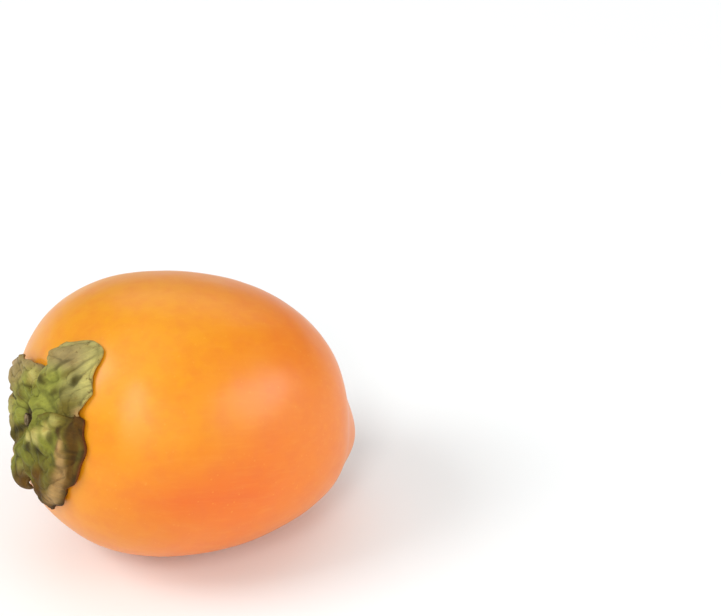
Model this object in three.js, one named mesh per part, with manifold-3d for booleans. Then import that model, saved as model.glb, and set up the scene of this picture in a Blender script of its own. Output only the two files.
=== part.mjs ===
// A ripe, tapered kaki persimmon as picked, lying on its side on a small flat spot.
// Millimetres, +Z up. The calyx end points along -X and a little upward, the blossom end along +X.
// Every piece is first drawn upright, with the fruit's own axis along z and the calyx on top,
// and the whole fruit is then laid down as one group.
import * as THREE from "three";
import { mergeVertices } from "three/addons/utils/BufferGeometryUtils.js";
import Module from "manifold-3d";

const wasm = await Module();
wasm.setup();

// Driving dimensions of the flesh
const widestRadius = 34;
const shoulderLength = 35.3; // widest ring to calyx end, before the basin is sunk
const taperLength = 47.5; // widest ring to blossom end, before the nub is added
const squareness = 2.3; // 2 would make the calyx half an ellipse
const basinDepth = 3.6;
const basinRadius = 17;
const nubHeight = 2.6;
const nubRadius = 7.5;
const waistDepth = 1.1; // a faint hollow ring that sets the blossom end off
const waistRadius = 14;
const waistWidth = 5.2;
const fourSidedness = { share: 0.018, turn: 1.74 }; // of the radius, since a kaki is faintly square across
const flattening = { share: 0.018, turn: -2.3 }; // of the radius, wider one way than the other
const tipSag = 7.2; // how far the blossom end hangs off the fruit's axis
const tipSagHeading = THREE.MathUtils.degToRad(196);
const tipSagPower = 6; // higher keeps the sag to the very end

// How it lies
const restPitch = THREE.MathUtils.degToRad(13); // calyx end raised, tip lowered
const flatSpotDepth = 0.5;

// Calyx, stem and style
const gap = 0.4; // of the calyx over the skin, and of the stem over the calyx
const styleGap = 0.3;
const bladeThickness = 0.9;
const receptacleRadius = 5.6;
const receptacleThickness = 1.3;
const ruffleHeight = 0.5; // of the waves along a sepal's margins
const ruffleWaves = 3;
const stemRadius = 1.6;
const stemLength = 1.8;
const styleRadius = 1.2;
const styleLength = 0.8;

// Fineness of the faceted surfaces
const fruitRings = 36;
const fruitSegments = 56;
const bladeRows = 16;
const bladeColumns = 14;

// The four sepals. Reach holds distances from the fruit's axis from a sepal's root to its tip, spans the
// angles either side of its heading there, and outline what share of the reach its tip has from its first
// margin to its second. Lifts are heights over the skin, a row for each of five places across.
const sepals = [
  {
    // broad sepal on the shoulder, raised by the hollow
    heading: 326,
    reach: [4.2, 8, 12, 16.5, 21, 26.4],
    spans: [31, 30, 27, 25, 25, 24],
    outline: [0.8, 0.88, 0.96, 1.04, 0.87],
    lifts: [
      [1.1, 3.4, 2.0, 1.1, 1.0, 1.0],
      [1.1, 4.2, 2.4, 1.1, 2.2, 1.1],
      [1.1, 4.2, 2.6, 1.2, 1.4, 1.6],
      [1.1, 3.4, 3.0, 3.2, 2.2, 1.4],
      [1.1, 2.6, 1.6, 1.3, 3.4, 2.4],
    ],
    wavePhase: 3,
  },
  {
    // short broad sepal
    heading: 42,
    reach: [4.2, 6.5, 9, 11.5, 13.6, 15.4],
    spans: [49, 50, 51, 51, 50, 46],
    outline: [0.92, 0.9, 0.98, 1.02, 0.94],
    lifts: [
      [1.1, 2.2, 2.0, 1.4, 1.1, 1.0],
      [1.1, 2.4, 3.2, 3.4, 2.8, 2.2],
      [1.1, 2.2, 2.6, 2.2, 2.4, 2.8],
      [1.1, 2.4, 3.0, 2.8, 2.2, 2.2],
      [1.1, 2.2, 2.2, 1.6, 1.2, 1.3],
    ],
    wavePhase: 8,
  },
  {
    // sepal folded along its middle
    heading: 150,
    reach: [4.2, 6.5, 9, 11.6, 14.2, 16.8],
    spans: [59, 60, 60, 60, 57, 52],
    outline: [0.84, 0.84, 0.84, 1.02, 0.96],
    lifts: [
      [1.1, 1.6, 1.8, 1.5, 1.2, 1.1],
      [1.1, 1.6, 1.8, 1.6, 1.3, 1.2],
      [1.1, 1.0, 1.0, 1.0, 1.0, 1.0],
      [1.1, 3.6, 3.8, 3.6, 3.4, 3.2],
      [1.1, 4.2, 3.2, 2.4, 2.0, 1.6],
    ],
    wavePhase: 15,
  },
  {
    // dried sepal standing over the hollow, its outer part curled up
    heading: 258,
    reach: [4.2, 6.4, 10, 14.5, 19, 21, 23],
    spans: [47, 48, 49, 48, 46, 45, 42],
    outline: [0.9, 0.91, 0.95, 0.955, 0.94],
    lifts: [
      [1.1, 4.6, 3.2, 2.2, 2.0, 1.6, 1.2],
      [1.1, 5.2, 3.6, 2.6, 3.0, 2.6, 1.6],
      [1.1, 5.4, 4.0, 2.4, 3.4, 1.4, 1.0],
      [1.1, 4.8, 4.6, 2.6, 3.2, 1.1, 1.0],
      [1.1, 3.0, 3.6, 3.0, 1.6, 1.0, 1.0],
    ],
    wavePhase: 21,
  },
];

// Smooth reading of a list of values spaced evenly from 0 to 1
function alongKeys(keys, share) {
  const place = THREE.MathUtils.clamp(share, 0, 1) * (keys.length - 1);
  const index = Math.min(Math.floor(place), keys.length - 2);
  const t = place - index;
  const before = keys[Math.max(index - 1, 0)];
  const start = keys[index];
  const end = keys[index + 1];
  const after = keys[Math.min(index + 2, keys.length - 1)];
  const startSlope = (end - before) / 2;
  const endSlope = (after - start) / 2;
  const square = t * t;
  const cube = square * t;
  return (2 * cube - 3 * square + 1) * start + (cube - 2 * square + t) * startSlope
    + (3 * square - 2 * cube) * end + (cube - square) * endSlope;
}

// Radius of the fruit at an angle round its axis, as a share of the round one
function breadth(around) {
  const corners = fourSidedness.share * Math.cos(4 * around + fourSidedness.turn);
  const widening = flattening.share * Math.cos(2 * around + flattening.turn);
  return 1 + corners + widening;
}

// Heights over the widest ring, at a share of the radius out from the axis
function shoulderHeight(share) {
  const inBasin = Math.min((share * widestRadius) / basinRadius, 1);
  const round = shoulderLength * Math.max(1 - share ** squareness, 0) ** (1 / squareness);
  return round - basinDepth * (1 - inBasin ** 2) ** 2;
}

function taperHeight(share) {
  const offAxis = share * widestRadius;
  const nub = nubHeight * Math.exp(-((offAxis / nubRadius) ** 2));
  const waist = waistDepth * Math.exp(-(((offAxis - waistRadius) / waistWidth) ** 2));
  return -taperLength * Math.sqrt(Math.max(1 - share ** 2, 0)) - nub + waist;
}

// Place on the skin by an angle down from the calyx end and an angle round the axis
function pointOnSkin(fromTop, around) {
  const onShoulder = fromTop < Math.PI / 2;
  const share = Math.sin(fromTop) ** (onShoulder ? 2 / squareness : 1);
  const radius = share * widestRadius * breadth(around);
  const height = onShoulder ? shoulderHeight(share) : taperHeight(share);
  const sag = tipSag * Math.max(-Math.cos(fromTop), 0) ** tipSagPower;
  const x = radius * Math.cos(around) + sag * Math.cos(tipSagHeading);
  const y = radius * Math.sin(around) + sag * Math.sin(tipSagHeading);
  return new THREE.Vector3(x, y, height);
}

// Height of the shoulder under a place seen along the axis
function skinHeight(radius, around) {
  return shoulderHeight(radius / (widestRadius * breadth(around)));
}

// Least height over the skin that keeps a blade's underside clear of the sloping shoulder
function leastHeight(radius, around) {
  const reach = 0.5;
  const slope = (skinHeight(radius + reach, around) - skinHeight(radius - reach, around)) / (2 * reach);
  return (gap + bladeThickness / 2) * Math.hypot(1, slope);
}

function geometryFrom(points, triangles) {
  const geometry = new THREE.BufferGeometry();
  const positions = points.flatMap((point) => [point.x, point.y, point.z]);
  geometry.setAttribute("position", new THREE.Float32BufferAttribute(positions, 3));
  geometry.setIndex(triangles);
  return geometry;
}

// Closed skin from pole to pole, with its rings drawn by pointAt(share down, angle)
function closedSkin(rings, segments, pointAt) {
  const points = [pointAt(0, 0)];
  for (let ring = 1; ring < rings; ring += 1) {
    for (let segment = 0; segment < segments; segment += 1) {
      points.push(pointAt(ring / rings, (2 * Math.PI * segment) / segments));
    }
  }
  points.push(pointAt(1, 0));
  const last = points.length - 1;
  const corner = (ring, segment) => 1 + (ring - 1) * segments + (segment % segments);
  const triangles = [];
  for (let segment = 0; segment < segments; segment += 1) {
    triangles.push(0, corner(1, segment), corner(1, segment + 1));
    for (let ring = 1; ring < rings - 1; ring += 1) {
      const upper = corner(ring, segment);
      const upperNext = corner(ring, segment + 1);
      const lower = corner(ring + 1, segment);
      const lowerNext = corner(ring + 1, segment + 1);
      triangles.push(upper, lower, lowerNext, upper, lowerNext, upperNext);
    }
    triangles.push(corner(rings - 1, segment), last, corner(rings - 1, segment + 1));
  }
  return geometryFrom(points, triangles);
}

// Thin closed blade round a curved sheet pointAt(along, across), both faces split alike
function closedBlade(rows, columns, thickness, pointAt) {
  const upper = [];
  const lower = [];
  const step = 0.01;
  for (let row = 0; row <= rows; row += 1) {
    for (let column = 0; column <= columns; column += 1) {
      const along = row / rows;
      const across = (2 * column) / columns - 1;
      const outward = pointAt(along + step, across).sub(pointAt(along - step, across));
      const sideways = pointAt(along, across + step).sub(pointAt(along, across - step));
      const normal = outward.cross(sideways).normalize().multiplyScalar(thickness / 2);
      const middle = pointAt(along, across);
      upper.push(middle.clone().add(normal));
      lower.push(middle.clone().sub(normal));
    }
  }
  const points = [...upper, ...lower];
  const below = upper.length;
  const corner = (row, column) => row * (columns + 1) + column;
  const triangles = [];
  for (let row = 0; row < rows; row += 1) {
    for (let column = 0; column < columns; column += 1) {
      const near = corner(row, column);
      const nearNext = corner(row, column + 1);
      const far = corner(row + 1, column);
      const farNext = corner(row + 1, column + 1);
      triangles.push(near, far, farNext, near, farNext, nearNext);
      triangles.push(near + below, farNext + below, far + below);
      triangles.push(near + below, nearNext + below, farNext + below);
    }
  }
  const rim = [];
  for (let column = 0; column < columns; column += 1) rim.push(corner(0, column));
  for (let row = 0; row < rows; row += 1) rim.push(corner(row, columns));
  for (let column = columns; column > 0; column -= 1) rim.push(corner(rows, column));
  for (let row = rows; row > 0; row -= 1) rim.push(corner(row, 0));
  rim.forEach((here, index) => {
    const next = rim[(index + 1) % rim.length];
    triangles.push(here, next, next + below, here, next + below, here + below);
  });
  return geometryFrom(points, triangles);
}

function solidFrom(geometry) {
  const bare = new THREE.BufferGeometry();
  bare.setAttribute("position", geometry.getAttribute("position"));
  bare.setIndex(geometry.getIndex());
  const merged = mergeVertices(bare, 1e-5);
  const vertProperties = new Float32Array(merged.getAttribute("position").array);
  const triVerts = new Uint32Array(merged.getIndex().array);
  return new wasm.Manifold(new wasm.Mesh({ numProp: 3, vertProperties, triVerts }));
}

function geometryOf(solid) {
  const mesh = solid.getMesh();
  const geometry = new THREE.BufferGeometry();
  geometry.setAttribute("position", new THREE.Float32BufferAttribute(mesh.vertProperties, 3));
  geometry.setIndex(Array.from(mesh.triVerts));
  return geometry;
}

// Round piece from an outline of radius and height pairs, stood up along z
function turned(outline, segments) {
  const points = outline.map(([radius, height]) => new THREE.Vector2(radius, height));
  return new THREE.LatheGeometry(points, segments).rotateX(Math.PI / 2);
}

function named(name, geometry, colour, roughness) {
  geometry.computeVertexNormals();
  const material = new THREE.MeshStandardMaterial({ color: colour, roughness, metalness: 0 });
  const mesh = new THREE.Mesh(geometry, material);
  mesh.name = name;
  return mesh;
}

// Turns an upright piece onto its side, calyx toward -X and raised by the pitch
const layingTurn = new THREE.Euler(0, restPitch - Math.PI / 2, 0);

// The flesh and its skin are one solid, cut flat where it rests
function fruitGeometry() {
  const skin = closedSkin(fruitRings, fruitSegments, (share, around) => pointOnSkin(share * Math.PI, around));
  const turn = new THREE.Matrix4().makeRotationFromEuler(layingTurn);
  const laid = skin.clone().applyMatrix4(turn);
  laid.computeBoundingBox();
  const blockSize = 4 * widestRadius;
  const block = new THREE.BoxGeometry(blockSize, blockSize, blockSize);
  block.translate(0, 0, laid.boundingBox.min.z + flatSpotDepth - blockSize / 2);
  block.applyMatrix4(turn.invert());
  return geometryOf(solidFrom(skin).subtract(solidFrom(block)));
}

function sepalPoint(sepal, along, across) {
  const share = (across + 1) / 2;
  const tip = alongKeys(sepal.outline, share);
  const radius = alongKeys(sepal.reach, along) * (1 + (tip - 1) * along ** 2);
  const span = THREE.MathUtils.degToRad(alongKeys(sepal.spans, along));
  const around = THREE.MathUtils.degToRad(sepal.heading) + across * span;
  const lift = alongKeys(sepal.lifts.map((row) => alongKeys(row, along)), share);
  const wave = Math.sin(2 * Math.PI * ruffleWaves * along + sepal.wavePhase + 1.3 * Math.sign(across));
  const height = lift + ruffleHeight * wave * along * across ** 4;
  const clear = Math.max(height, leastHeight(radius, around));
  const x = radius * Math.cos(around);
  const y = radius * Math.sin(around);
  return new THREE.Vector3(x, y, skinHeight(radius, around) + clear);
}

// Round pad that the sepals and the stem grow from, seated in the basin
function receptacleGeometry() {
  const floor = skinHeight(0, 0) + gap;
  const profile = [
    [0, floor + receptacleThickness],
    [0.7 * receptacleRadius, floor + receptacleThickness],
    [receptacleRadius, floor + receptacleThickness + 0.3],
    [receptacleRadius, floor + 0.6],
    [0.7 * receptacleRadius, floor + 0.2],
    [0, floor],
  ];
  return turned(profile.reverse(), 40);
}

// Four sepals grown together round the receptacle, one solid
function calyxGeometry() {
  let calyx = solidFrom(receptacleGeometry());
  for (const sepal of sepals) {
    const blade = closedBlade(bladeRows, bladeColumns, bladeThickness, (along, across) =>
      sepalPoint(sepal, along, across));
    calyx = calyx.add(solidFrom(blade));
  }
  return geometryOf(calyx);
}

// Short woody stub left where the fruit was cut from its twig
function stemGeometry() {
  const floor = skinHeight(0, 0) + 2 * gap + receptacleThickness;
  const outline = [
    [0, 0],
    [1.2 * stemRadius, 0],
    [1.05 * stemRadius, 0.25 * stemLength],
    [0.85 * stemRadius, 0.6 * stemLength],
    [0.95 * stemRadius, 0.97 * stemLength],
    [0.7 * stemRadius, stemLength],
    [0, 0.95 * stemLength],
  ];
  return turned(outline, 16).translate(0, 0, floor);
}

// Dry, dark remnant of the style on the blossom end
function styleGeometry() {
  const tip = pointOnSkin(Math.PI, 0);
  const outline = [
    [0, -styleLength],
    [0.45 * styleRadius, -0.9 * styleLength],
    [0.75 * styleRadius, -0.6 * styleLength],
    [styleRadius, -0.25 * styleLength],
    [styleRadius, 0],
    [0, 0],
  ];
  return turned(outline, 12).translate(tip.x, tip.y, tip.z - styleGap);
}

const upright = new THREE.Group();
upright.rotation.copy(layingTurn);
upright.add(named("fruit", fruitGeometry(), 0xf9a03c, 0.42));
upright.add(named("calyx", calyxGeometry(), 0x7d8742, 0.75));
upright.add(named("stem_stub", stemGeometry(), 0x4e3b22, 0.85));
upright.add(named("style_tip", styleGeometry(), 0x2c1c10, 0.85));

// The origin is the middle of the footprint, on the surface that the fruit rests on
const persimmon = new THREE.Group();
persimmon.add(upright);
persimmon.updateMatrixWorld(true);
const extent = new THREE.Box3().setFromObject(persimmon, true);
const footprint = extent.getCenter(new THREE.Vector3());
upright.position.set(-footprint.x, -footprint.y, -extent.min.z);
persimmon.updateMatrixWorld(true);

export default persimmon;
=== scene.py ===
import math
import bpy
from mathutils import Matrix, Vector, noise


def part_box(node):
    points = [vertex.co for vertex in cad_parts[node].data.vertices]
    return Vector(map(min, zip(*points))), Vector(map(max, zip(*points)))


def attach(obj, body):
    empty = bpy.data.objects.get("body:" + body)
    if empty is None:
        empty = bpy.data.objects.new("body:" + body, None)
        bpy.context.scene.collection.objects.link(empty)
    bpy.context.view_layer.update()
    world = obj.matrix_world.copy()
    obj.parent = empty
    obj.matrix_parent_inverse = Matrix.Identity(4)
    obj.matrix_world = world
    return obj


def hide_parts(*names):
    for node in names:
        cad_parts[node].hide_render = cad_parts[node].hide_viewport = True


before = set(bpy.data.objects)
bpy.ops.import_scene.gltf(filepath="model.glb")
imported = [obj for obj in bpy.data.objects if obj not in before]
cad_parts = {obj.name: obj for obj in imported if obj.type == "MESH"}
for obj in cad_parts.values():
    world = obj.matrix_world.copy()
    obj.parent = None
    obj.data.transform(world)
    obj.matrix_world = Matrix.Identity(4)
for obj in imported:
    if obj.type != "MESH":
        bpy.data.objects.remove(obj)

# noise_vector would otherwise draw its offsets from the clock
noise.seed_set(4)

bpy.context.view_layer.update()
mm = 0.001
imageWidth, imageHeight = 721, 616
bpy.ops.object.select_all(action="DESELECT")


# Every piece is shaped upright in millimetres, with the fruit's axis along z, the calyx on top
# and the middle of the widest ring at zero. It is then laid on its side in the frame.
fruit = {
    "widestRadius": 34,
    "shoulderLength": 35.3,
    "taperLength": 47.5,
    "squareness": 2.3,
    "basinDepth": 3.6,
    "basinRadius": 17,
    "nubHeight": 2.6,
    "nubRadius": 7.5,
    "waistDepth": 1.1,   # a faint hollow ring that sets the blossom end off
    "waistRadius": 14,
    "waistWidth": 5.2,
    "fourSidedness": (0.018, 1.74),   # share of the radius, and where the corners are
    "flattening": (0.018, -2.3),
    "tipSag": (7.2, math.radians(196)),   # how far the blossom end hangs, and which way
    "tipSagPower": 6,
    "restPitch": math.radians(13),
    "segments": 192,
    "rings": 128,
    "lumps": [(11, 0.16), (4.5, 0.05)],   # wavelength and height of the faint unevenness
}


# What the skin's radius is multiplied by at an angle round the axis, since a kaki is faintly square
def breadth(around):
    corners = fruit["fourSidedness"][0] * math.cos(4 * around + fruit["fourSidedness"][1])
    widening = fruit["flattening"][0] * math.cos(2 * around + fruit["flattening"][1])
    return 1 + corners + widening


# Height over the widest ring at a share of the radius, on the calyx half and then on the tapered half
def shoulderHeight(share):
    inBasin = min(share * fruit["widestRadius"] / fruit["basinRadius"], 1)
    power = fruit["squareness"]
    rounded = fruit["shoulderLength"] * max(1 - share ** power, 0) ** (1 / power)
    return rounded - fruit["basinDepth"] * (1 - inBasin ** 2) ** 2


def taperHeight(share):
    offAxis = share * fruit["widestRadius"]
    rounded = fruit["taperLength"] * math.sqrt(max(1 - share ** 2, 0))
    nub = fruit["nubHeight"] * math.exp(-(offAxis / fruit["nubRadius"]) ** 2)
    waist = fruit["waistDepth"] * math.exp(-((offAxis - fruit["waistRadius"]) / fruit["waistWidth"]) ** 2)
    return -rounded - nub + waist


# Place on the skin by an angle down from the calyx end and an angle round the axis
def skinPoint(fromTop, around):
    onShoulder = fromTop < math.pi / 2
    share = max(math.sin(fromTop), 0) ** (2 / fruit["squareness"] if onShoulder else 1)
    radius = share * fruit["widestRadius"] * breadth(around)
    height = shoulderHeight(share) if onShoulder else taperHeight(share)
    sag, heading = fruit["tipSag"]
    sag *= max(-math.cos(fromTop), 0) ** fruit["tipSagPower"]
    return Vector((radius * math.cos(around) + sag * math.cos(heading),
                   radius * math.sin(around) + sag * math.sin(heading), height))


def skinHeight(radius, around):
    return shoulderHeight(radius / (fruit["widestRadius"] * breadth(around)))


layingTurn = Matrix.Rotation(fruit["restPitch"] - math.pi / 2, 4, "Y")


def boxOf(points):
    low = Vector([min(point[axis] for point in points) for axis in range(3)])
    high = Vector([max(point[axis] for point in points) for axis in range(3)])
    return low, high


# The middle of the widest ring in the frame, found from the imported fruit's own box
def findRingCentre():
    sides, steps = 96, 64
    ring = [skinPoint(math.pi * step / steps, 2 * math.pi * side / sides)
            for step in range(steps + 1) for side in range(sides)]
    low, high = boxOf([layingTurn @ (point * mm) for point in ring])
    cadLow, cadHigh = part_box("fruit")
    middle = (cadLow + cadHigh - low - high) / 2
    return Vector((middle.x, middle.y, cadHigh.z - high.z))


ringCentre = findRingCentre()
laying = Matrix.Translation(ringCentre) @ layingTurn @ Matrix.Scale(mm, 4)
print("widest ring at", [round(value, 5) for value in ringCentre])


def layDown(piece):
    piece.data.transform(laying)
    piece.data.update()


def onlySelect(piece):
    bpy.ops.object.select_all(action="DESELECT")
    piece.select_set(True)
    bpy.context.view_layer.objects.active = piece


def applyModifier(piece, kind, **settings):
    modifier = piece.modifiers.new(kind, kind)
    for name, value in settings.items():
        setattr(modifier, name, value)
    onlySelect(piece)
    bpy.ops.object.modifier_apply(modifier=modifier.name)


def newPiece(name):
    piece = bpy.context.object
    piece.name = piece.data.name = name
    return piece


def shadeSmooth(piece):
    onlySelect(piece)
    bpy.ops.object.shade_smooth()


def outwardNormals(piece):
    onlySelect(piece)
    bpy.ops.object.mode_set(mode="EDIT")
    bpy.ops.mesh.select_all(action="SELECT")
    bpy.ops.mesh.normals_make_consistent(inside=False)
    bpy.ops.object.mode_set(mode="OBJECT")


# Smooth reading of a list of values spaced evenly from 0 to 1
def alongKeys(keys, share):
    place = min(max(share, 0), 1) * (len(keys) - 1)
    index = min(int(place), len(keys) - 2)
    t = place - index
    before, start = keys[max(index - 1, 0)], keys[index]
    end, after = keys[index + 1], keys[min(index + 2, len(keys) - 1)]
    startSlope, endSlope = (end - before) / 2, (after - start) / 2
    return ((2 * t ** 3 - 3 * t ** 2 + 1) * start + (t ** 3 - 2 * t ** 2 + t) * startSlope
            + (3 * t ** 2 - 2 * t ** 3) * end + (t ** 3 - t ** 2) * endSlope)


def smoothStep(value, low, high):
    share = min(max((value - low) / (high - low), 0), 1)
    return share * share * (3 - 2 * share)


# Material helpers
def newMaterial(name):
    material = bpy.data.materials.new(name)
    material.use_nodes = True
    tree = material.node_tree
    tree.nodes.clear()
    output = tree.nodes.new("ShaderNodeOutputMaterial")
    shader = tree.nodes.new("ShaderNodeBsdfPrincipled")
    tree.links.new(shader.outputs["BSDF"], output.inputs["Surface"])
    return material, tree, shader


def addNode(tree, kind, inputs=None, **settings):
    node = tree.nodes.new("ShaderNode" + kind)
    for name, value in settings.items():
        setattr(node, name, value)
    for name, value in (inputs or {}).items():
        if isinstance(value, bpy.types.NodeSocket):
            tree.links.new(value, node.inputs[name])
        else:
            node.inputs[name].default_value = value
    return node


def ramp(tree, factor, stops):
    node = addNode(tree, "ValToRGB", {"Fac": factor})
    while len(node.color_ramp.elements) < len(stops):
        node.color_ramp.elements.new(1)
    for element, (place, colour) in zip(node.color_ramp.elements, stops):
        element.position = place
        element.color = colour if len(colour) == 4 else (*colour, 1)
    return node.outputs["Color"]


def grey(value):
    return (value, value, value)


def mixColour(tree, factor, first, second, blend="MIX"):
    node = addNode(tree, "Mix", data_type="RGBA", blend_type=blend)
    factorSocket, firstSocket, secondSocket = (node.inputs[index] for index in (0, 6, 7))
    for socket, value in ((factorSocket, factor), (firstSocket, first), (secondSocket, second)):
        if isinstance(value, bpy.types.NodeSocket):
            tree.links.new(value, socket)
        elif isinstance(value, (int, float)) or len(value) == 4:
            socket.default_value = value
        else:
            socket.default_value = (*value, 1)
    return node.outputs[2]


def calculate(tree, operation, first, second=0.0, third=0.0, clamp=False):
    node = addNode(tree, "Math", operation=operation, use_clamp=clamp)
    for socket, value in zip(node.inputs, (first, second, third)):
        if isinstance(value, bpy.types.NodeSocket):
            tree.links.new(value, socket)
        else:
            socket.default_value = value
    return node.outputs[0]


def noiseAt(tree, vector, scale, detail=3.0, roughness=0.5, distortion=0.0):
    node = addNode(tree, "TexNoise", {"Vector": vector, "Scale": scale, "Detail": detail,
                                      "Roughness": roughness, "Distortion": distortion})
    return node.outputs["Fac"]


def srgb(red, green, blue):
    def linear(value):
        value /= 255
        return value / 12.92 if value <= 0.04045 else ((value + 0.055) / 1.055) ** 2.4
    return (linear(red), linear(green), linear(blue))


# Place in metres along the fruit's own axes, with zero at the widest ring and z toward the calyx
def uprightPlace(tree):
    place = addNode(tree, "TexCoord").outputs["Object"]
    upright = addNode(tree, "Mapping", {"Vector": place}, vector_type="TEXTURE")
    upright.inputs["Location"].default_value = ringCentre
    upright.inputs["Rotation"].default_value = (0, fruit["restPitch"] - math.pi / 2, 0)
    return upright.outputs["Vector"]


# The fruit's skin: amber by the calyx, pinker orange toward the tip, waxy and satin, with a deeper
# orange band of painted shade low on its flank. Noise scales are per metre.
skinFinish = {
    "calyxEnd": srgb(229, 149, 4),
    "middle": srgb(229, 123, 8),
    "tipEnd": srgb(230, 125, 24),
    "blush": srgb(218, 99, 33),
    "shadedBelt": srgb(226, 100, 4),
    "fleck": srgb(238, 163, 56),
    "scar": srgb(176, 96, 40),
    "patchScale": 38,       # broad drifts in how ripe the skin looks
    "patchDrift": 0.34,
    "mottlingScale": 210,
    "fibreScale": 900,
    "poreScale": 620,
    "scarScale": 120,
    "grainScale": 1500,
    "bump": (0.12, 0.00015),          # strength and depth in metres
    "roughness": (0.36, 0.46),
    "subsurface": (0.12, 0.004),      # weight and depth in metres
    "subsurfaceRadius": (1.0, 0.35, 0.1),
    "specular": 0.36,
    "coat": (0.24, 0.28),             # weight and roughness of the wax
}


def makeSkinMaterial():
    look = skinFinish
    material, tree, shader = newMaterial("persimmonSkin")
    own = uprightPlace(tree)
    axes = addNode(tree, "SeparateXYZ", {"Vector": own})
    length = (fruit["shoulderLength"] + fruit["taperLength"]) * mm
    tipShare = fruit["taperLength"] * mm / length
    along = calculate(tree, "MULTIPLY_ADD", axes.outputs["Z"], 1 / length, tipShare)
    high = calculate(tree, "MULTIPLY", axes.outputs["X"], 1 / (fruit["widestRadius"] * mm))
    patches = noiseAt(tree, own, look["patchScale"], detail=2, roughness=0.5)
    drift = calculate(tree, "MULTIPLY_ADD", patches, look["patchDrift"], -look["patchDrift"] / 2)
    ripeness = calculate(tree, "ADD", calculate(tree, "MULTIPLY_ADD", high, 0.2, along), drift)
    base = ramp(tree, ripeness, [(0.0, look["tipEnd"]), (0.45, look["middle"]), (0.95, look["calyxEnd"])])
    # painted shade: a deeper orange band low on the flank, fading out at the very bottom and toward both ends
    height = calculate(tree, "MULTIPLY_ADD", calculate(tree, "ADD", high, drift), 0.5, 0.5)
    low = ramp(tree, height, [(0.1, grey(0)), (0.3, grey(0.3)), (0.44, grey(0.85)), (0.7, grey(0))])
    midway = ramp(tree, along, [(0.25, grey(0.1)), (0.5, grey(1)), (0.68, grey(1)), (0.92, grey(0.1))])
    base = mixColour(tree, calculate(tree, "MULTIPLY", low, midway), base, look["shadedBelt"])
    mottling = noiseAt(tree, own, look["mottlingScale"], detail=4, roughness=0.6)
    blush = ramp(tree, mottling, [(0.42, grey(0)), (0.75, grey(0.3))])
    base = mixColour(tree, blush, base, look["blush"])
    # fine fibres run from the calyx to the tip
    fibres = addNode(tree, "Mapping", {"Vector": own, "Scale": (1, 1, 0.12)}).outputs["Vector"]
    fibre = noiseAt(tree, fibres, look["fibreScale"], detail=3)
    fibre = ramp(tree, fibre, [(0.5, grey(0)), (0.8, grey(0.14))])
    base = mixColour(tree, fibre, base, look["fleck"])
    # small pale breathing pores, each a raised dot
    pores = addNode(tree, "TexVoronoi", {"Vector": own, "Scale": look["poreScale"], "Randomness": 1.0})
    pore = ramp(tree, pores.outputs["Distance"], [(0.06, grey(1)), (0.2, grey(0))])
    chosen = ramp(tree, pores.outputs["Color"], [(0.45, grey(0)), (0.6, grey(0.3))])
    pore = calculate(tree, "MULTIPLY", pore, chosen)
    base = mixColour(tree, pore, base, look["fleck"])
    # a few faint rubbed scars
    marks = noiseAt(tree, own, look["scarScale"], detail=6, roughness=0.75, distortion=1.2)
    scar = ramp(tree, marks, [(0.7, grey(0)), (0.78, grey(0.35))])
    base = mixColour(tree, scar, base, look["scar"])
    tree.links.new(base, shader.inputs["Base Color"])
    gloss = ramp(tree, patches, [(0.3, grey(look["roughness"][0])), (0.7, grey(look["roughness"][1]))])
    tree.links.new(gloss, shader.inputs["Roughness"])
    grain = noiseAt(tree, own, look["grainScale"], detail=4, roughness=0.6)
    relief = calculate(tree, "MULTIPLY_ADD", pore, 0.5, calculate(tree, "MULTIPLY", grain, 0.5))
    strength, depth = look["bump"]
    bump = addNode(tree, "Bump", {"Strength": strength, "Distance": depth, "Height": relief})
    tree.links.new(bump.outputs["Normal"], shader.inputs["Normal"])
    shader.inputs["Subsurface Weight"].default_value = look["subsurface"][0]
    shader.inputs["Subsurface Scale"].default_value = look["subsurface"][1]
    shader.inputs["Subsurface Radius"].default_value = look["subsurfaceRadius"]
    shader.inputs["Specular IOR Level"].default_value = look["specular"]
    shader.inputs["Coat Weight"].default_value = look["coat"][0]
    shader.inputs["Coat Roughness"].default_value = look["coat"][1]
    return material


def makeFruit():
    bpy.ops.mesh.primitive_uv_sphere_add(segments=fruit["segments"], ring_count=fruit["rings"], radius=1)
    piece = newPiece("persimmonFlesh")
    for vertex in piece.data.vertices:
        fromTop = math.acos(min(max(vertex.co.z, -1), 1))
        atPole = min(fromTop, math.pi - fromTop) <= 0.001
        around = 0 if atPole else math.atan2(vertex.co.y, vertex.co.x)
        point = skinPoint(fromTop, around)
        outward = point.normalized()
        for wavelength, height in fruit["lumps"]:
            point = point + outward * height * noise.noise(point / wavelength)
        vertex.co = point
    layDown(piece)
    for vertex in piece.data.vertices:
        vertex.co.z = max(vertex.co.z, 0)   # the flat spot that it rests on
    outwardNormals(piece)
    shadeSmooth(piece)
    piece.data.materials.append(makeSkinMaterial())
    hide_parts("fruit")
    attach(piece, "root")
    print("fruit done")
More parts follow.
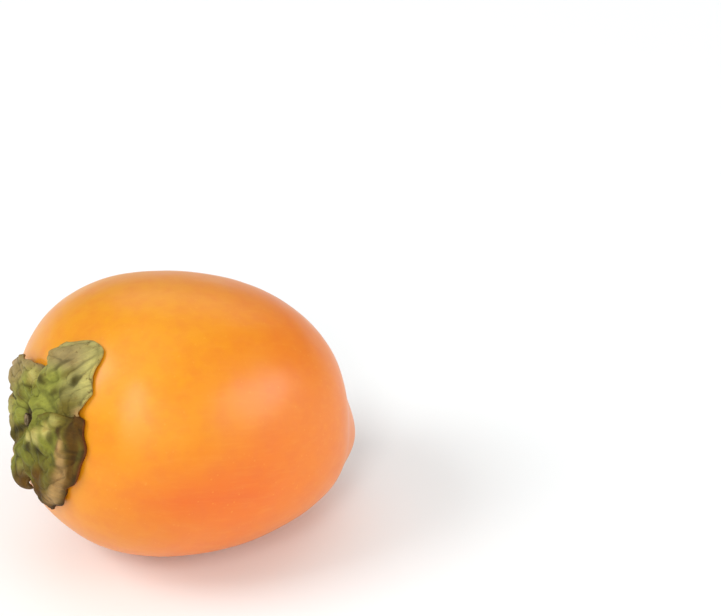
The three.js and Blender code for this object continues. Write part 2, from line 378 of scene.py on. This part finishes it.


# The calyx, four sepals grown together round a hollow. For each sepal, reach holds distances from the
# fruit's axis from its root to its tip, spans the angles either side of its heading there, and
# outline what share of the reach its tip has from its first margin to its second. Lifts are heights
# over the skin, one row of them for each of five places from the first margin to the second. A patch
# is where it lies along and across, how far it spreads each way, its tone and its strength. Tones are
# the leaf's own by the root and by the tip. Besides the leaf's own marks, the patches hold painted
# shade in creases, gaps between sepals and the hollow, and painted highlights on folds facing the lamps.
sepals = [
    {   # broad sepal lying on the shoulder, with a raised ear and a pale outer fold
        "heading": 326,
        "reach": [4.2, 8, 12, 16.5, 21, 26.4],
        "spans": [31, 30, 27, 25, 25, 24],
        "outline": [0.8, 0.88, 0.96, 1.04, 0.87],
        "lifts": [
            [1.1, 3.4, 2.0, 1.1, 1.0, 1.0],
            [1.1, 4.2, 2.4, 1.1, 2.2, 1.1],
            [1.1, 4.2, 2.6, 1.2, 1.4, 1.6],
            [1.1, 3.4, 3.0, 3.2, 2.2, 1.4],
            [1.1, 2.6, 1.6, 1.3, 3.4, 2.4],
        ],
        "patches": [
            # the bright field and the ear are partly painted light on faces turned to the lamps, and the pale
            # strip is partly painted highlight on the outer fold
            (0.45, -0.2, 0.25, 0.8, "bright", 0.9),
            # painted shade: the olive dip is the shaded foot below the ear
            (0.76, -0.72, 0.2, 0.36, "olive", 1.0),
            (0.83, 0.65, 0.13, 0.5, "greyPink", 1.0),
            (0.62, 0.28, 0.12, 0.24, "bright", 1.0),
            (0.97, -0.05, 0.08, 0.6, "pale", 0.9),
            # painted shade in the shade patches: the creases, the side of the ear and the gap by the dried
            # sepal
            (0.84, -0.08, 0.055, 0.16, "shade", 1.0),
            (0.57, -0.08, 0.08, 0.13, "shade", 0.8),
            (0.7, -0.25, 0.1, 0.16, "shade", 0.8),
            (0.77, 0.2, 0.08, 0.1, "olive", 0.8),
            (0.53, 0.46, 0.04, 0.2, "shade", 0.9),
            (0.72, 0.48, 0.1, 0.05, "shade", 0.5),
            (0.5, -0.98, 0.4, 0.07, "shade", 0.9),
            (0.97, -1.0, 0.12, 0.25, "dry", 0.9),
        ],
        "tones": ("green", "greyPale"),
        "dryness": 0.15,
        "seed": 3,
    },
    {   # short broad sepal, rumpled, with a pale rim
        "heading": 42,
        "reach": [4.2, 6.5, 9, 11.5, 13.6, 15.4],
        "spans": [49, 50, 51, 51, 50, 46],
        "outline": [0.92, 0.9, 0.98, 1.02, 0.94],
        "lifts": [
            [1.1, 2.2, 2.0, 1.4, 1.1, 1.0],
            [1.1, 2.4, 3.2, 3.4, 2.8, 2.2],
            [1.1, 2.2, 2.6, 2.2, 2.4, 2.8],
            [1.1, 2.4, 3.0, 2.8, 2.2, 2.2],
            [1.1, 2.2, 2.2, 1.6, 1.2, 1.3],
        ],
        "patches": [
            # the bright root is partly painted light on its lit inner face, and the pale strips are partly
            # painted highlight; the shade patches are painted shade below the ear and along the margin
            (0.15, 0.0, 0.2, 1.4, "bright", 1.0),
            (0.25, 0.5, 0.1, 0.3, "olive", 0.9),
            (0.7, 0.3, 0.3, 0.7, "greyPink", 0.9),
            (0.95, 0.5, 0.12, 0.5, "palePink", 0.9),
            (0.6, -0.85, 0.25, 0.35, "green", 0.9),
            (0.62, -0.76, 0.2, 0.14, "pale", 1.0),
            (0.72, -0.97, 0.15, 0.06, "pale", 0.9),
            (0.78, -0.2, 0.16, 0.12, "pale", 0.8),
            (0.38, -0.3, 0.035, 0.6, "shade", 0.9),
            (0.5, 0.95, 0.4, 0.08, "shade", 0.8),
            (0.8, 0.55, 0.2, 0.1, "olive", 0.5),
        ],
        "tones": ("bright", "greyPink"),
        "dryness": 0.35,
        "seed": 8,
    },
    {   # sepal folded along its middle, its lower half standing as a ridge
        "heading": 150,
        "reach": [4.2, 6.5, 9, 11.6, 14.2, 16.8],
        "spans": [59, 60, 60, 60, 57, 52],
        "outline": [0.84, 0.84, 0.84, 1.02, 0.96],
        "lifts": [
            [1.1, 1.6, 1.8, 1.5, 1.2, 1.1],
            [1.1, 1.6, 1.8, 1.6, 1.3, 1.2],
            [1.1, 1.0, 1.0, 1.0, 1.0, 1.0],
            [1.1, 3.6, 3.8, 3.6, 3.4, 3.2],
            [1.1, 4.2, 3.2, 2.4, 2.0, 1.6],
        ],
        "patches": [
            # the bright patch is partly painted light on the lit inner face; the olive and shade bands are
            # painted shade of the hollow seen past the near wall, and the shade line is painted shade along
            # the fold
            (0.3, -0.7, 0.4, 0.4, "bright", 1.0),
            (0.85, -0.6, 0.2, 0.4, "greyPale", 1.0),
            (0.5, -0.2, 0.7, 0.22, "olive", 1.0),
            (0.4, -0.25, 0.6, 0.13, "shade", 1.0),
            (0.6, 0.4, 0.4, 0.25, "green", 1.0),
            (0.75, 0.16, 0.2, 0.12, "pale", 0.9),
            (0.6, 0.62, 0.4, 0.06, "shade", 0.9),
            (0.98, 0.25, 0.06, 0.4, "dry", 1.0),
            (0.85, 0.85, 0.25, 0.28, "darkDry", 1.0),
            (0.97, 0.5, 0.05, 0.15, "darkDry", 1.0),
        ],
        "tones": ("green", "greyPink"),
        "dryness": 0.7,
        "seed": 15,
    },
    {   # dried sepal standing over the hollow, its outer part curled up
        "heading": 258,
        "reach": [4.2, 6.4, 10, 14.5, 19, 21, 23],
        "spans": [47, 48, 49, 48, 46, 45, 42],
        "outline": [0.9, 0.91, 0.95, 0.955, 0.94],
        "lifts": [
            [1.1, 4.6, 3.2, 2.2, 2.0, 1.6, 1.2],
            [1.1, 5.2, 3.6, 2.6, 3.0, 2.6, 1.6],
            [1.1, 5.4, 4.0, 2.4, 3.4, 1.4, 1.0],
            [1.1, 4.8, 4.6, 2.6, 3.2, 1.1, 1.0],
            [1.1, 3.0, 3.6, 3.0, 1.6, 1.0, 1.0],
        ],
        "patches": [
            (0.42, -0.1, 0.18, 0.5, "deep", 1.0),
            (0.5, 0.5, 0.14, 0.3, "green", 1.0),
            # painted highlight: the pale streak along the lit top of the near wall, with painted shade in the
            # shade patches just below it and by the hollow
            (0.25, 0.25, 0.05, 0.2, "pale", 1.0),
            (0.37, 0.46, 0.055, 0.2, "pale", 1.0),
            (0.48, 0.68, 0.055, 0.14, "pale", 1.0),
            (0.57, 0.87, 0.04, 0.1, "pale", 0.6),
            (0.26, -0.1, 0.05, 0.25, "shade", 1.0),
            (0.4, 0.12, 0.06, 0.12, "shade", 1.0),
            (0.54, 0.55, 0.035, 0.12, "shade", 0.8),
            (0.61, 0.72, 0.035, 0.09, "umber", 1.0),
            (0.5, -0.45, 0.09, 0.32, "darkDry", 1.0),
            (0.6, -0.75, 0.1, 0.3, "darkDry", 1.0),
            (0.35, -0.85, 0.12, 0.2, "olive", 1.0),
            (0.64, 0.48, 0.035, 0.16, "dry", 1.0),
            (0.69, 0.25, 0.04, 0.18, "dry", 1.0),
            (0.74, 0.03, 0.055, 0.18, "dry", 1.0),
            (0.8, -0.2, 0.1, 0.2, "dry", 1.0),
            (0.82, -0.5, 0.14, 0.25, "dry", 1.0),
            (0.75, 0.78, 0.07, 0.2, "umber", 1.0),
            (0.77, 0.58, 0.055, 0.22, "darkDry", 1.0),
            (0.79, 0.3, 0.04, 0.15, "darkDry", 1.0),
            (0.86, 0.15, 0.05, 0.13, "darkDry", 1.0),
            (0.96, 0.08, 0.05, 0.12, "umber", 1.0),
            (0.89, 0.42, 0.04, 0.22, "olive", 1.0),
            (1.0, 0.5, 0.03, 0.7, "russet", 0.9),
            (0.97, -0.62, 0.06, 0.25, "umber", 1.0),
        ],
        "tones": ("green", "darkDry"),
        "dryness": 0.8,
        "seed": 21,
    },
]

calyx = {
    "gap": 0.4,
    "bladeThickness": 0.7,
    "receptacleRadius": 5.6,
    "receptacleThickness": 1.3,
    "receptacleBevel": 0.35,
    "rows": 52,
    "columns": 52,
    "ruffle": 0.5,        # height of the waves along the margins
    "ruffleWaves": 3,
    "crumple": 0.7,       # height of the small folds
    "foldWidth": 4.0,
    "foldDrift": 0.35,    # how far the folds stray from a regular pattern
    "creaseWidth": 0.14,
    "creaseShade": 0.42,  # how much darker the creases between the folds are
    "hollowShade": 0.8,   # how much darker the hollow round the stem is
    "raggedness": 0.035,  # of the outline
}

leafTonesShadeAndHighlight = {
    # bright is the fresh inner green, partly lightened as painted light where a face turns to the lamps
    "bright": srgb(140, 142, 59),
    "green": srgb(119, 120, 43),
    "deep": srgb(102, 98, 32),
    "olive": srgb(102, 90, 30),
    # painted shade for the creases, the gaps between sepals and the hollow
    "shade": srgb(64, 56, 13),
    # pale is the paler dry margin and folded underside, and serves also as painted highlight on lit ridges
    "pale": srgb(189, 178, 102),
    "greyPale": srgb(164, 157, 94),
    "greyPink": srgb(147, 129, 83),
    "palePink": srgb(180, 156, 119),
    "dry": srgb(168, 134, 83),
    "darkDry": srgb(89, 60, 9),
    "umber": srgb(62, 43, 6),
    "russet": srgb(127, 68, 23),
}


def leastHeight(radius, around):
    reach = 0.5
    slope = (skinHeight(radius + reach, around) - skinHeight(radius - reach, around)) / (2 * reach)
    return (calyx["gap"] + calyx["bladeThickness"] / 2) * math.hypot(1, slope)


# Height of a sepal over the skin, smooth between its rows of lifts
def liftOf(sepal, along, across):
    return alongKeys([alongKeys(row, along) for row in sepal["lifts"]], (across + 1) / 2)


# Height of the rumpled folds between sharp creases, and how near a place is to a crease
def foldsAt(sepal, along, across):
    radius = alongKeys(sepal["reach"], along)
    around = math.radians(sepal["heading"] + across * alongKeys(sepal["spans"], along))
    place = Vector((radius * math.cos(around), radius * math.sin(around), sepal["seed"])) / calyx["foldWidth"]
    place += calyx["foldDrift"] * noise.noise_vector(place * 1.3)
    coarse, fine = abs(noise.noise(place)), abs(noise.noise(place * 2.3))
    crease = 1 - smoothStep(coarse, 0, calyx["creaseWidth"])
    return 2.4 * coarse - 0.6 + 0.4 * (0.5 - 2 * fine), crease


def sepalPoint(sepal, along, across):
    edge = abs(across)
    side = math.copysign(1, across)
    seed = sepal["seed"]
    ragged = calyx["raggedness"] * (1 + 2 * sepal["dryness"])
    frayedTip = 1 + ragged * noise.noise(Vector((across * 3, seed, 0))) * along ** 3
    frayedSide = 1 + 1.5 * ragged * noise.noise(Vector((along * 5, seed, 7 * side))) * edge ** 3 * along
    tip = alongKeys(sepal["outline"], (across + 1) / 2)
    radius = alongKeys(sepal["reach"], along) * (1 + (tip - 1) * along ** 2) * frayedTip
    around = math.radians(sepal["heading"] + across * alongKeys(sepal["spans"], along) * frayedSide)
    height = liftOf(sepal, along, across)
    wave = math.sin(2 * math.pi * calyx["ruffleWaves"] * along + seed + 1.3 * side)
    height += calyx["ruffle"] * wave * along * edge ** 4
    height += calyx["crumple"] * foldsAt(sepal, along, across)[0] * min(along * 4, 1)
    height = max(height, leastHeight(radius, around))
    height += skinHeight(radius, around)
    return Vector((radius * math.cos(around), radius * math.sin(around), height))


# Colour of a sepal at a place, green by its root and greyer outward, with its own soft patches, and with
# painted shade darkening the hollow by the root and the creases between the folds
def sepalColourShadeAndHighlight(sepal, along, across):
    inner, outer = [Vector(leafTonesShadeAndHighlight[tone]) for tone in sepal["tones"]]
    colour = inner.lerp(outer, smoothStep(along, 0.35, 0.9))
    for alongPlace, acrossPlace, alongWidth, acrossWidth, tone, strength in sepal["patches"]:
        offPlace = ((along - alongPlace) / alongWidth) ** 2 + ((across - acrossPlace) / acrossWidth) ** 2
        colour = colour.lerp(Vector(leafTonesShadeAndHighlight[tone]), strength * math.exp(-offPlace ** 1.5))
    # painted shade: the hollow by the root is drawn toward the shade tone, and the creases between the folds
    # are darkened
    inHollow = 1 - smoothStep(along, 0.02, 0.16)
    colour = colour.lerp(Vector(leafTonesShadeAndHighlight["shade"]), calyx["hollowShade"] * inHollow)
    return colour * (1 - calyx["creaseShade"] * foldsAt(sepal, along, across)[1])


def makeSepal(number, sepal):
    bpy.ops.mesh.primitive_grid_add(x_subdivisions=calyx["rows"], y_subdivisions=calyx["columns"],
                                    size=2, calc_uvs=True)
    piece = newPiece(f"sepal{number}")
    tone = piece.data.attributes.new("leafColourShadeAndHighlight", "FLOAT_COLOR", "POINT")
    for index, vertex in enumerate(piece.data.vertices):
        along, across = (vertex.co.x + 1) / 2, vertex.co.y
        tone.data[index].color = (*sepalColourShadeAndHighlight(sepal, along, across), sepal["dryness"])
        vertex.co = sepalPoint(sepal, along, across)
    applyModifier(piece, "SOLIDIFY", thickness=calyx["bladeThickness"], offset=0)
    applyModifier(piece, "SUBSURF", levels=1, render_levels=1)
    return piece


def makeReceptacle():
    radius, thickness = calyx["receptacleRadius"], calyx["receptacleThickness"]
    floor = skinHeight(0, 0) + calyx["gap"]
    bpy.ops.mesh.primitive_cylinder_add(vertices=64, radius=radius, depth=thickness,
                                        location=(0, 0, floor + thickness / 2), end_fill_type="TRIFAN")
    piece = newPiece("receptacle")
    bpy.ops.object.transform_apply(location=True, rotation=True, scale=True)
    tone = piece.data.attributes.new("leafColourShadeAndHighlight", "FLOAT_COLOR", "POINT")
    # painted shade: the whole receptacle is given the shade tone of the hollow it sits in
    for item in tone.data:
        item.color = (*leafTonesShadeAndHighlight["shade"], 1)
    applyModifier(piece, "BEVEL", width=calyx["receptacleBevel"], segments=3)
    return piece


calyxFinish = {
    "mottlingScale": 330,
    "blotchScale": 170,
    "fleckScale": 620,
    "netScale": 1500,
    "mainVeins": (1.6, 15, 1),    # how closely they lie along and across a sepal
    "vein": (1.35, 1.3, 1.15),    # how much lighter a vein is than the leaf beside it
    "net": srgb(84, 84, 34),
    "spot": srgb(84, 56, 22),
    "rim": (0.62, 0.45, 0.3),     # what is left of each colour where the leaf has dried
    "roughness": (0.6, 0.85),
    "bump": (0.5, 0.0003),        # strength and depth in metres
    "specular": 0.18,
}


def makeSepalMaterial():
    look = calyxFinish
    material, tree, shader = newMaterial("calyxLeaf")
    own = addNode(tree, "TexCoord").outputs["Object"]
    tone = addNode(tree, "Attribute", attribute_name="leafColourShadeAndHighlight", attribute_type="GEOMETRY")
    uv = addNode(tree, "UVMap", uv_map="UVMap").outputs["UV"]
    places = addNode(tree, "SeparateXYZ", {"Vector": uv})
    mottling = noiseAt(tree, own, look["mottlingScale"], detail=5, roughness=0.65)
    shading = ramp(tree, mottling, [(0.25, grey(0.72)), (0.75, grey(1.22))])
    base = mixColour(tree, 1.0, tone.outputs["Color"], shading, blend="MULTIPLY")
    # main veins fan out from the root, and a finer net lies between them
    wander = addNode(tree, "Mapping", {"Vector": uv, "Scale": look["mainVeins"]}).outputs["Vector"]
    veinEdge = addNode(tree, "TexVoronoi", {"Vector": wander, "Scale": 1.0}, feature="DISTANCE_TO_EDGE")
    vein = ramp(tree, veinEdge.outputs["Distance"], [(0.0, grey(1)), (0.1, grey(0))])
    netEdge = addNode(tree, "TexVoronoi", {"Vector": own, "Scale": look["netScale"]},
                      feature="DISTANCE_TO_EDGE")
    net = ramp(tree, netEdge.outputs["Distance"], [(0.0, grey(1)), (0.12, grey(0))])
    base = mixColour(tree, calculate(tree, "MULTIPLY", vein, 0.4), base, look["vein"], blend="MULTIPLY")
    base = mixColour(tree, calculate(tree, "MULTIPLY", net, 0.06), base, look["net"])
    # dry brown blotches, more of them on the drier sepals
    blotches = noiseAt(tree, own, look["blotchScale"], detail=6, roughness=0.7, distortion=0.8)
    blotches = calculate(tree, "MULTIPLY_ADD", tone.outputs["Alpha"], 0.07, blotches)
    blotch = ramp(tree, blotches, [(0.53, grey(0)), (0.66, grey(0.5))])
    base = mixColour(tree, blotch, base, look["rim"], blend="MULTIPLY")
    # brown flecks, thicker toward the margins
    flecks = noiseAt(tree, own, look["fleckScale"], detail=5, roughness=0.7)
    across = calculate(tree, "ABSOLUTE", calculate(tree, "MULTIPLY_ADD", places.outputs["Y"], 2.0, -1.0))
    edge = calculate(tree, "MAXIMUM", across, places.outputs["X"])
    nearEdge = calculate(tree, "POWER", edge, 8.0)
    fleckCover = calculate(tree, "MULTIPLY_ADD", nearEdge, 0.12, flecks)
    spots = ramp(tree, fleckCover, [(0.66, grey(0)), (0.76, grey(0.7))])
    base = mixColour(tree, spots, base, look["spot"])
    dryRim = calculate(tree, "MULTIPLY_ADD", mottling, 0.2, edge)
    dryRim = calculate(tree, "MULTIPLY_ADD", tone.outputs["Alpha"], 0.05, dryRim)
    rim = ramp(tree, calculate(tree, "SUBTRACT", dryRim, 0.2), [(0.87, grey(0)), (0.97, grey(0.8))])
    base = mixColour(tree, rim, base, look["rim"], blend="MULTIPLY")
    tree.links.new(base, shader.inputs["Base Color"])
    rough = ramp(tree, flecks, [(0.3, grey(look["roughness"][0])), (0.7, grey(look["roughness"][1]))])
    tree.links.new(rough, shader.inputs["Roughness"])
    relief = calculate(tree, "MULTIPLY_ADD", vein, 0.12, calculate(tree, "MULTIPLY", net, -0.12))
    relief = calculate(tree, "MULTIPLY_ADD", mottling, 1.2, relief)
    strength, depth = look["bump"]
    bump = addNode(tree, "Bump", {"Strength": strength, "Distance": depth, "Height": relief})
    tree.links.new(bump.outputs["Normal"], shader.inputs["Normal"])
    shader.inputs["Specular IOR Level"].default_value = look["specular"]
    return material


def makeCalyx():
    pieces = [makeSepal(number + 1, sepal) for number, sepal in enumerate(sepals)]
    pieces.append(makeReceptacle())
    bpy.ops.object.select_all(action="DESELECT")
    for piece in pieces:
        piece.select_set(True)
    bpy.context.view_layer.objects.active = pieces[0]
    bpy.ops.object.join()
    piece = newPiece("calyxLeaves")
    layDown(piece)
    shadeSmooth(piece)
    piece.data.materials.clear()
    piece.data.materials.append(makeSepalMaterial())
    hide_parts("calyx")
    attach(piece, "root")
    print("calyx done")


# The stub of the cut stem. Its rings are shares of the length and of the radius.
stem = {
    "radius": 1.6,
    "length": 1.8,
    "sunk": 0.3,          # how deep its foot sits in the receptacle
    "flare": 1.15,        # of its foot, as a share of the radius
    "rings": [(0.12, 0.92), (0.34, 0.88), (0.66, 0.9), (0.9, 1.0)],
    "cutEdge": (0.1, 0.82),   # share of the length over the last ring, and how far it draws in
    "cutInset": (0.25, -0.08),
    "ridges": (9, 0.07),  # how many run up the bark, and their height
    "unevenCut": 0.12,
    "bark": srgb(92, 74, 42),
    "barkDark": srgb(46, 34, 18),
    "cutWood": srgb(150, 128, 88),
    "pith": srgb(84, 64, 38),
}


# Draws the selected face out ring by ring, up (1) or down (-1), from its width as a share of the radius
def drawOut(settings, firstWidth, direction):
    climbed, width = 0, firstWidth
    for share, ringWidth in settings["rings"]:
        rise = share * settings["length"] + settings["sunk"] - climbed
        bpy.ops.mesh.extrude_region_move(TRANSFORM_OT_translate={"value": (0, 0, direction * rise)})
        bpy.ops.transform.resize(value=(ringWidth / width, ringWidth / width, 1))
        climbed, width = climbed + rise, ringWidth


def makeStem():
    foot = skinHeight(0, 0) + 2 * calyx["gap"] + calyx["receptacleThickness"]
    bpy.ops.mesh.primitive_circle_add(vertices=32, radius=stem["flare"] * stem["radius"], fill_type="TRIFAN",
                                      location=(0, 0, foot - stem["sunk"]))
    piece = newPiece("cutStem")
    bpy.ops.object.transform_apply(location=True, rotation=True, scale=True)
    bpy.ops.object.mode_set(mode="EDIT")
    bpy.ops.mesh.select_all(action="SELECT")
    drawOut(stem, stem["flare"], 1)
    lastRise, drawnIn = stem["cutEdge"]
    bpy.ops.mesh.extrude_region_move(TRANSFORM_OT_translate={"value": (0, 0, lastRise * stem["length"])})
    bpy.ops.transform.resize(value=(drawnIn, drawnIn, 1))
    bpy.ops.mesh.inset(thickness=stem["cutInset"][0], depth=stem["cutInset"][1])
    bpy.ops.object.mode_set(mode="OBJECT")
    applyModifier(piece, "SUBSURF", levels=2, render_levels=2)
    count, height = stem["ridges"]
    for vertex in piece.data.vertices:
        around = math.atan2(vertex.co.y, vertex.co.x)
        radius = math.hypot(vertex.co.x, vertex.co.y)
        ridge = math.sin(count * around + 3 * noise.noise(vertex.co)) + noise.noise(vertex.co * 2.5)
        share = 1 + height * ridge * smoothStep(radius, 0.5, stem["radius"]) / max(radius, 0.5)
        vertex.co.x *= share
        vertex.co.y *= share
        climbed = smoothStep(vertex.co.z, foot, foot + stem["length"])
        vertex.co.z += stem["unevenCut"] * noise.noise(vertex.co * 0.9) * climbed
    layDown(piece)
    outwardNormals(piece)
    shadeSmooth(piece)
    piece.data.materials.append(makeStemMaterial(foot))
    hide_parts("stem_stub")
    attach(piece, "root")
    print("stem done")


def makeStemMaterial(foot):
    material, tree, shader = newMaterial("stemBark")
    own = uprightPlace(tree)
    axes = addNode(tree, "SeparateXYZ", {"Vector": own})
    fibres = addNode(tree, "Mapping", {"Vector": own, "Scale": (1, 1, 0.15)}).outputs["Vector"]
    fibre = noiseAt(tree, fibres, 2200, detail=4, roughness=0.6)
    bark = ramp(tree, fibre, [(0.3, stem["barkDark"]), (0.7, stem["bark"])])
    # the cut end is pale wood round a darker pith
    squareX = calculate(tree, "POWER", axes.outputs["X"], 2.0)
    squareY = calculate(tree, "POWER", axes.outputs["Y"], 2.0)
    outward = calculate(tree, "SQRT", calculate(tree, "ADD", squareX, squareY))
    outward = calculate(tree, "MULTIPLY", outward, 1 / (stem["radius"] * mm))
    cut = ramp(tree, outward, [(0.16, stem["pith"]), (0.26, stem["cutWood"]), (0.72, stem["cutWood"]),
                               (0.86, stem["barkDark"])])
    cut = mixColour(tree, calculate(tree, "MULTIPLY", fibre, 0.5), cut, stem["pith"])
    top = (foot + 0.93 * stem["length"]) * mm
    overTop = calculate(tree, "SUBTRACT", axes.outputs["Z"], top)
    onCut = calculate(tree, "MULTIPLY", overTop, 1 / (0.1 * mm), clamp=True)
    base = mixColour(tree, onCut, bark, cut)
    tree.links.new(base, shader.inputs["Base Color"])
    tree.links.new(ramp(tree, fibre, [(0.3, grey(0.9)), (0.7, grey(0.7))]), shader.inputs["Roughness"])
    bump = addNode(tree, "Bump", {"Strength": 0.6, "Distance": 0.0002, "Height": fibre})
    tree.links.new(bump.outputs["Normal"], shader.inputs["Normal"])
    shader.inputs["Specular IOR Level"].default_value = 0.3
    return material


# The dry remnant of the style, a low button on the blossom end
style = {
    "radius": 1.2,
    "length": 0.8,
    "sunk": 0.6,          # how deep its foot sits in the flesh
    "rings": [(0.25, 0.96), (0.6, 0.72), (0.85, 0.5), (0.95, 0.3)],
    "endInset": (0.1, -0.05),
    "lobes": (4, 0.12),   # the dried style keeps its four parts
    "dark": srgb(38, 24, 14),
    "brown": srgb(92, 60, 32),
}


def makeStyle():
    tip = skinPoint(math.pi, 0)
    bpy.ops.mesh.primitive_circle_add(vertices=32, radius=style["radius"], fill_type="TRIFAN",
                                      location=(tip.x, tip.y, tip.z + style["sunk"]))
    piece = newPiece("styleRemnant")
    bpy.ops.object.transform_apply(location=True, rotation=True, scale=True)
    bpy.ops.object.mode_set(mode="EDIT")
    bpy.ops.mesh.select_all(action="SELECT")
    drawOut(style, 1, -1)
    bpy.ops.mesh.inset(thickness=style["endInset"][0], depth=style["endInset"][1])
    bpy.ops.object.mode_set(mode="OBJECT")
    applyModifier(piece, "SUBSURF", levels=2, render_levels=2)
    count, height = style["lobes"]
    for vertex in piece.data.vertices:
        x, y = vertex.co.x - tip.x, vertex.co.y - tip.y
        ridge = math.cos(count * math.atan2(y, x)) + noise.noise(vertex.co * 2)
        share = 1 + height * ridge
        vertex.co.x, vertex.co.y = tip.x + x * share, tip.y + y * share
    layDown(piece)
    outwardNormals(piece)
    shadeSmooth(piece)
    piece.data.materials.append(makeStyleMaterial())
    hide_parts("style_tip")
    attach(piece, "root")
    print("style done")


def makeStyleMaterial():
    material, tree, shader = newMaterial("dryStyle")
    own = uprightPlace(tree)
    grain = noiseAt(tree, own, 1800, detail=4, roughness=0.65)
    base = ramp(tree, grain, [(0.35, style["dark"]), (0.7, style["brown"])])
    tree.links.new(base, shader.inputs["Base Color"])
    tree.links.new(ramp(tree, grain, [(0.3, grey(0.9)), (0.7, grey(0.65))]), shader.inputs["Roughness"])
    bump = addNode(tree, "Bump", {"Strength": 0.6, "Distance": 0.0002, "Height": grain})
    tree.links.new(bump.outputs["Normal"], shader.inputs["Normal"])
    return material


makeFruit()
makeCalyx()
makeStem()
makeStyle()

# Floor, soft lights, camera. Distances and sizes are metres, angles degrees, powers watts.
studio = {
    "floorSize": 4.0,
    "floorColour": (0.905, 0.93, 0.93, 1),
    "floorRoughness": 0.8,
    "worldStrength": 0.33,
    "lights": [
        # name, azimuth from the camera's direction, elevation, distance, width, height, power
        ("keyWindow", -74, 42, 2.4, 1.2, 1.2, 30),
        ("leftSoftbox", -10, 38, 2.4, 0.5, 1.0, 15),
        ("rightSoftbox", 77, 18, 2.4, 1.7, 0.9, 22),
        ("frontFill", 10, 22, 2.6, 2.4, 1.2, 9),
        ("topSoftbox", -10, 84, 2.6, 2.4, 2.4, 14),
        ("backSoftbox", 170, 38, 2.6, 2.6, 1.2, 9.5),
    ],
    "cameraAzimuth": -25.3,
    "cameraElevation": 31.8,
    "cameraDistance": 0.6186,
    "lens": 130,
    "sensorWidth": 36,
    "clip": (0.01, 20),
    "ringInPhoto": (167, 412.3),   # where the middle of the widest ring shows, in pixels
}


def fromAngles(azimuth, elevation):
    a, e = math.radians(azimuth), math.radians(elevation)
    return Vector((math.sin(a) * math.cos(e), -math.cos(a) * math.cos(e), math.sin(e)))


def makeFloor():
    bpy.ops.mesh.primitive_plane_add(size=studio["floorSize"])
    floor = newPiece("studioFloor")
    material, tree, shader = newMaterial("paleFloor")
    shader.inputs["Base Color"].default_value = studio["floorColour"]
    shader.inputs["Roughness"].default_value = studio["floorRoughness"]
    floor.data.materials.append(material)


def makeLights():
    for name, azimuth, elevation, distance, width, height, power in studio["lights"]:
        away = fromAngles(studio["cameraAzimuth"] + azimuth, elevation)
        bpy.ops.object.light_add(type="AREA", location=ringCentre + away * distance)
        light = bpy.context.object
        light.name = name
        light.rotation_euler = away.to_track_quat("Z", "Y").to_euler()
        light.data.shape = "RECTANGLE"
        light.data.size, light.data.size_y = width, height
        light.data.energy = power
    world = bpy.data.worlds.new("paleStudio")
    world.use_nodes = True
    background = world.node_tree.nodes["Background"]
    background.inputs["Color"].default_value = (1, 1, 1, 1)
    background.inputs["Strength"].default_value = studio["worldStrength"]
    bpy.context.scene.world = world


def makeCamera():
    toCamera = fromAngles(studio["cameraAzimuth"], studio["cameraElevation"])
    a = math.radians(studio["cameraAzimuth"])
    right = Vector((math.cos(a), math.sin(a), 0))
    up = toCamera.cross(right)
    perPixel = studio["cameraDistance"] * studio["sensorWidth"] / studio["lens"] / imageWidth
    px, py = studio["ringInPhoto"]
    aside = right * (imageWidth / 2 - px) * perPixel + up * (py - imageHeight / 2) * perPixel
    bpy.ops.object.camera_add(location=ringCentre + toCamera * studio["cameraDistance"] + aside)
    camera = bpy.context.object
    camera.name = "photoCamera"
    camera.rotation_euler = Matrix((right, up, toCamera)).transposed().to_euler()
    camera.data.lens = studio["lens"]
    camera.data.sensor_width = studio["sensorWidth"]
    camera.data.clip_start, camera.data.clip_end = studio["clip"]
    bpy.context.scene.camera = camera


makeFloor()
makeLights()
makeCamera()
bpy.context.scene.view_settings.view_transform = "Standard"
print("studio done")
